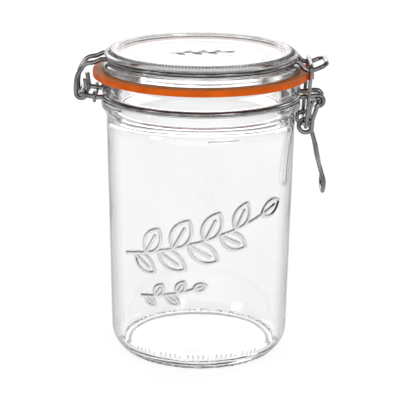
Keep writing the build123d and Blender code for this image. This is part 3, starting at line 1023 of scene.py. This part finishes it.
def rod_tree(material, sizes):
    """Turns the edges of a mesh into round rods."""
    tree, group_in = geometry_tree("rods", sizes)
    paths = tree.nodes.new("GeometryNodeMeshToCurve")
    section = tree.nodes.new("GeometryNodeCurvePrimitiveCircle")
    section.inputs["Resolution"].default_value = rod_sides
    sweep = tree.nodes.new("GeometryNodeCurveToMesh")
    sweep.inputs["Fill Caps"].default_value = True
    link(tree, group_in.outputs["Geometry"], paths.inputs["Mesh"])
    link(tree, group_in.outputs["Rod radius"], section.inputs["Radius"])
    link(tree, paths.outputs["Curve"], sweep.inputs["Curve"])
    link(tree, section.outputs["Curve"], sweep.inputs["Profile Curve"])
    end_tree(tree, sweep.outputs["Mesh"], material)
    return tree


lid_strokes = sprig((-17.5, -8), (0, -5), (13, -3), 6, 7.5, 4.2)
rod_radius = 0.32
rod_height = (recess + 0.1) * MM
rod_points, rod_edges = [], []
for stroke in lid_strokes:
    first = len(rod_points)
    rod_points += [(x * MM, y * MM, rod_height) for x, y in stroke]
    rod_edges += [(i, i + 1) for i in range(first, len(rod_points) - 1)]
rod_seed = new_mesh_object("lid_sprig_seed", rod_points, [], rod_edges)
sprig_glass, sprig_shader = rippled_glass("raised_sprig_glass", 60.0, 0.0003)
# Painted shade: the rods are greyed all over, so that the raised glass reads darker than the flat lid.
sprig_shaded_color = tinted(sprig_glass, clear_color(sprig_glass), grey(0.3), 1.0)
set_socket(sprig_glass, sprig_shader, "Base Color", sprig_shaded_color)
rod_sizes = {"Rod radius": rod_radius * MM}
lid_sprig = grown(rod_seed, rod_tree(sprig_glass, rod_sizes), rod_sizes, "lid_sprig")
print("lid sprig", len(lid_sprig.data.polygons), "faces")

# %% [markdown]
# ## The rubber ring
#
# The seal is cut from a moulded rubber tube, so its edges are square with a small round, and its face has a
# faint skin. A tab stands out under the latch, to break the seal with a pull. The ring is made as a turned
# section whose outside reaches further over the tab's width. Its faces stop a hair short of the glass,
# because two surfaces in one place would fight, and because glass mirrors from within only where air
# touches it.

# %% Rubber ring mesh
ring_low, ring_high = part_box("rubber_gasket")
contact_gap = 0.08
ring_bottom, ring_top = ring_low[2] / MM + contact_gap, ring_high[2] / MM - contact_gap
ring_inner, ring_outer = 45.7, 60.98
tab_reach = ring_high[0] / MM
tab_half = 13.0
tab_round = 2.2
ring_round = 0.55
side_row = 1.5
ring_columns = 288


def ring_reach(angle):
    """How far the ring's outside reaches at an angle: the round edge, or the tab's blunt end."""
    turn = (angle + math.pi) % (2 * math.pi) - math.pi
    across = np.abs(ring_outer * np.sin(turn))
    end = np.where(np.abs(turn) < math.pi / 2, tab_reach / np.maximum(np.cos(turn), 0.2), ring_outer)
    corner = 1 - soft_step(across, tab_half - tab_round, tab_half + 0.2)
    return ring_outer + np.maximum(end - ring_outer, 0) * corner


def ring_section(outer):
    """The points round one cut through the ring, whose outside lies at this radius."""
    inner, low, high, e = ring_inner, ring_bottom, ring_top, ring_round
    return [
        (inner + e, low), (inner + e * 3, low), (outer - e * 5, low), (outer - e * 2.5, low),
        (outer - e, low), (outer - e * 0.3, low + e * 0.3), (outer, low + e), (outer, low + side_row),
        (outer, high - side_row), (outer, high - e), (outer - e * 0.3, high - e * 0.3), (outer - e, high),
        (outer - e * 2.5, high), (outer - e * 5, high), (inner + e * 3, high), (inner + e, high),
        (inner + e * 0.3, high - e * 0.3), (inner, high - e), (inner, low + e),
        (inner + e * 0.3, low + e * 0.3),
    ]


ring_angles = np.linspace(0, 2 * math.pi, ring_columns, endpoint=False)
ring_points = []
for turn, outer in zip(ring_angles, ring_reach(ring_angles)):
    for radius, height in ring_section(outer):
        ring_points.append((radius * math.cos(turn) * MM, radius * math.sin(turn) * MM, height * MM))
around = len(ring_section(ring_outer))
ring_faces = []
for i in range(len(ring_angles)):
    n = (i + 1) % len(ring_angles)
    for j in range(around):
        k = (j + 1) % around
        ring_faces.append((i * around + j, n * around + j, n * around + k, i * around + k))
rubber_ring = new_mesh_object("rubber_ring", ring_points, ring_faces)
rubber_ring.data.polygons.foreach_set("use_smooth", [True] * len(ring_faces))
print("rubber ring", len(ring_faces), "faces")

# %% Rubber finish
rubber_dark, rubber_light = (0.53, 0.078, 0.001), (0.66, 0.106, 0.001)
rubber_top_sheen = (0.64, 0.17, 0.035)  # painted sheen: the face under the lid is paler, for the glare that it catches
sheen_from, sheen_full = ring_top - 0.45, ring_top - 0.1
rubber, rubber_shader = finish_material(
    "orange_rubber",
    {
        "IOR": 1.5,
        "Specular IOR Level": 0.1,
        "Subsurface Weight": 0.12,
        "Subsurface Radius": (1.0, 0.35, 0.1),
        "Subsurface Scale": 0.002,
    },
)
rubber_up = from_axis(rubber)[1]
# Painted sheen: the top face under the lid is mixed towards a paler orange.
top_sheen_part = step_between(rubber, rubber_up, sheen_from * MM, sheen_full * MM)
rubber_color = blend_colors(rubber, noise(rubber, 90.0, 4.0), rubber_dark, rubber_light)
rubber_color = tinted(rubber, rubber_color, rubber_top_sheen, top_sheen_part, "MIX")
set_socket(rubber, rubber_shader, "Base Color", rubber_color)
skin = noise(rubber, 1600.0, 3.0)
set_socket(rubber, rubber_shader, "Roughness", step_between(rubber, skin, 0.0, 1.0, 0.34, 0.55))
bump(rubber, rubber_shader, skin, 0.00008, 0.6)
rubber_ring.data.materials.append(rubber)
print("rubber finish")

# %% [markdown]
# ## Drawn steel wire
#
# Bright steel wire mirrors the room in long stripes along each bend. Drawing leaves fine marks and bending
# leaves duller patches, so the roughness varies and a very fine bump breaks the reflections.

# %% Steel finish
steel_dark, steel_light = grey(0.14), grey(0.29)
steel, steel_shader = finish_material("drawn_steel_wire", {"Metallic": 1.0, "IOR": 2.5})
steel_color = blend_colors(steel, noise(steel, 160.0, 4.0), steel_dark, steel_light)
set_socket(steel, steel_shader, "Base Color", steel_color)
marks = noise(steel, 1500.0, 3.0)
set_socket(steel, steel_shader, "Roughness", step_between(steel, marks, 0.0, 1.0, 0.10, 0.26))
bump(steel, steel_shader, marks, 0.00002, 0.5)
wires = ("neck_wire", "lid_wire", "hinge_tie_wire", "lever_wire", "latch_link")
for wire in wires:
    for wire_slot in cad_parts[wire].material_slots:
        wire_slot.material = steel
print("steel on", wires)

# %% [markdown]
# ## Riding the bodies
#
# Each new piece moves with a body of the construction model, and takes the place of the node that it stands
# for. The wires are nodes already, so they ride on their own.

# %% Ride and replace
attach(jar_glass, "jar")
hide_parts("jar_body")
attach(foot_stipple, "jar")
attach(lid_glass, "lid")
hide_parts("glass_lid")
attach(lid_sprig, "lid")
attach(rubber_ring, "lid")
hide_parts("rubber_gasket")
